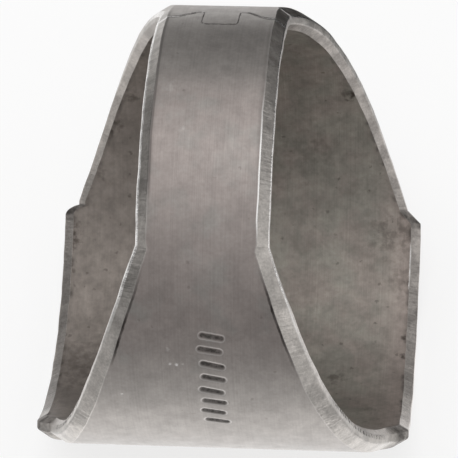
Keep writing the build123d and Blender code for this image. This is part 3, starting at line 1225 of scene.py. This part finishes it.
def clearBehind(tree, front):
    # a face that can be looked through from behind
    behind = addNode(tree, "ShaderNodeNewGeometry").outputs["Backfacing"]
    clear = addNode(tree, "ShaderNodeBsdfTransparent")
    shown = addNode(tree, "ShaderNodeMixShader", inputs=[behind, front, clear])
    addNode(tree, "ShaderNodeOutputMaterial", inputs={"Surface": shown})


def tableMaterial():
    # matte white paper, which keeps a soft shadow and can be looked through from below
    material = bpy.data.materials.new("mattePaper")
    tree = emptyTree(material)
    matte = addNode(tree, "ShaderNodeBsdfDiffuse", inputs={"Color": linearColour(studio["tableWhite"])})
    glow = addNode(tree, "ShaderNodeEmission", inputs={"Strength": 1.0})
    share = product(tree, seenDirectly(tree), studio["tableGlow"])
    paper = addNode(tree, "ShaderNodeMixShader", inputs=[share, matte, glow])
    clearBehind(tree, paper)
    return material


def screenMaterial(name, axis, stops):
    # grey card that gets lighter along one axis: mm, then level; its back is clear
    material = bpy.data.materials.new(name)
    tree = emptyTree(material)
    place = addNode(tree, "ShaderNodeTexCoord").outputs["Object"]
    along = addNode(tree, "ShaderNodeSeparateXYZ", inputs=[place]).outputs[axis]
    first, last = stops[0][0], stops[-1][0]
    share = addNode(tree, "ShaderNodeMapRange", inputs={
        "Value": along, "From Min": first * mm, "From Max": last * mm,
    })
    grade = addNode(tree, "ShaderNodeFloatCurve", inputs={"Value": share})
    grade.mapping.clip_max_y = studio["brightest"]
    curve = grade.mapping.curves[0]
    curve.points[0].location = (0, stops[0][1])
    curve.points[-1].location = (1, stops[-1][1])
    for at, level in stops[1:-1]:
        curve.points.new((at - first) / (last - first), level)
    grade.mapping.update()
    clearBehind(tree, addNode(tree, "ShaderNodeEmission", inputs={"Strength": grade}))
    return material


def addCard(name, points, faces, material):
    # seen in reflections alone
    card = meshObject(name, points, faces=faces)
    card.data.materials.append(material)
    card.visible_camera = False
    card.visible_diffuse = False
    card.visible_shadow = False


def addScreen(name, start, end, levels):
    # part of a dome round the object
    radius, low = studio["screenRadius"], lowCorner.z / mm
    lowest, top = levels[0][0], levels[-1][0]
    steps = studio["screenSteps"]
    turns = [radians(start + (end - start) * i / steps) for i in range(steps + 1)]
    heights = [radians(lowest + (top - lowest) * i / steps) for i in range(steps + 1)]
    points = [
        (radius * cos(t) * cos(h), radius * sin(t) * cos(h), radius * sin(h) + low)
        for h in heights
        for t in turns
    ]
    faces = []
    for row in range(steps):
        for i in range(steps):
            first = row * (steps + 1) + i
            faces.append((first, first + steps + 1, first + steps + 2, first + 1))
    stops = [(low + radius * sin(radians(height)), level) for height, level in levels]
    addCard(name, points, faces, screenMaterial(name, "Z", stops))


def addApron(name, left, right, levels):
    low = lowCorner.z / mm + studio["apronLift"]
    first, last = levels[0][0], levels[-1][0]
    points = [(left, first, low), (right, first, low), (right, last, low), (left, last, low)]
    addCard(name, points, [(0, 1, 2, 3)], screenMaterial(name, "Y", levels))


def addStudio():
    half = studio["tableSize"] / 2
    low = lowCorner.z / mm
    corners = [(-half, -half, low), (half, -half, low), (half, half, low), (-half, half, low)]
    table = meshObject("table", corners, faces=[(0, 1, 2, 3)])
    table.data.materials.append(tableMaterial())

    for name, (start, end, levels) in screens.items():
        addScreen(name, start, end, levels)
    for name, (left, right, levels) in aprons.items():
        addApron(name, left, right, levels)

    world = bpy.data.worlds.new("studio")
    tree = emptyTree(world)
    level = addNode(tree, "ShaderNodeMapRange", inputs={
        "Value": seenDirectly(tree), "To Min": studio["ambient"], "To Max": 1.0,
    })
    white = addNode(tree, "ShaderNodeBackground", inputs={"Strength": level})
    addNode(tree, "ShaderNodeOutputWorld", inputs={"Surface": white})
    bpy.context.scene.world = world

    data = bpy.data.lights.new("wideLamp", "AREA")
    data.shape = "SQUARE"
    data.size = studio["lampSize"] * mm
    data.energy = studio["lampWatts"]
    lamp = bpy.data.objects.new("wideLamp", data)
    lamp.location = Vector(studio["lampPlace"]) * mm
    lamp.rotation_euler = lamp.location.to_track_quat("Z", "Y").to_euler()
    bpy.context.scene.collection.objects.link(lamp)
    bpy.context.scene.view_settings.view_transform = "Standard"


addCamera()
addStudio()
print("camera and studio set")
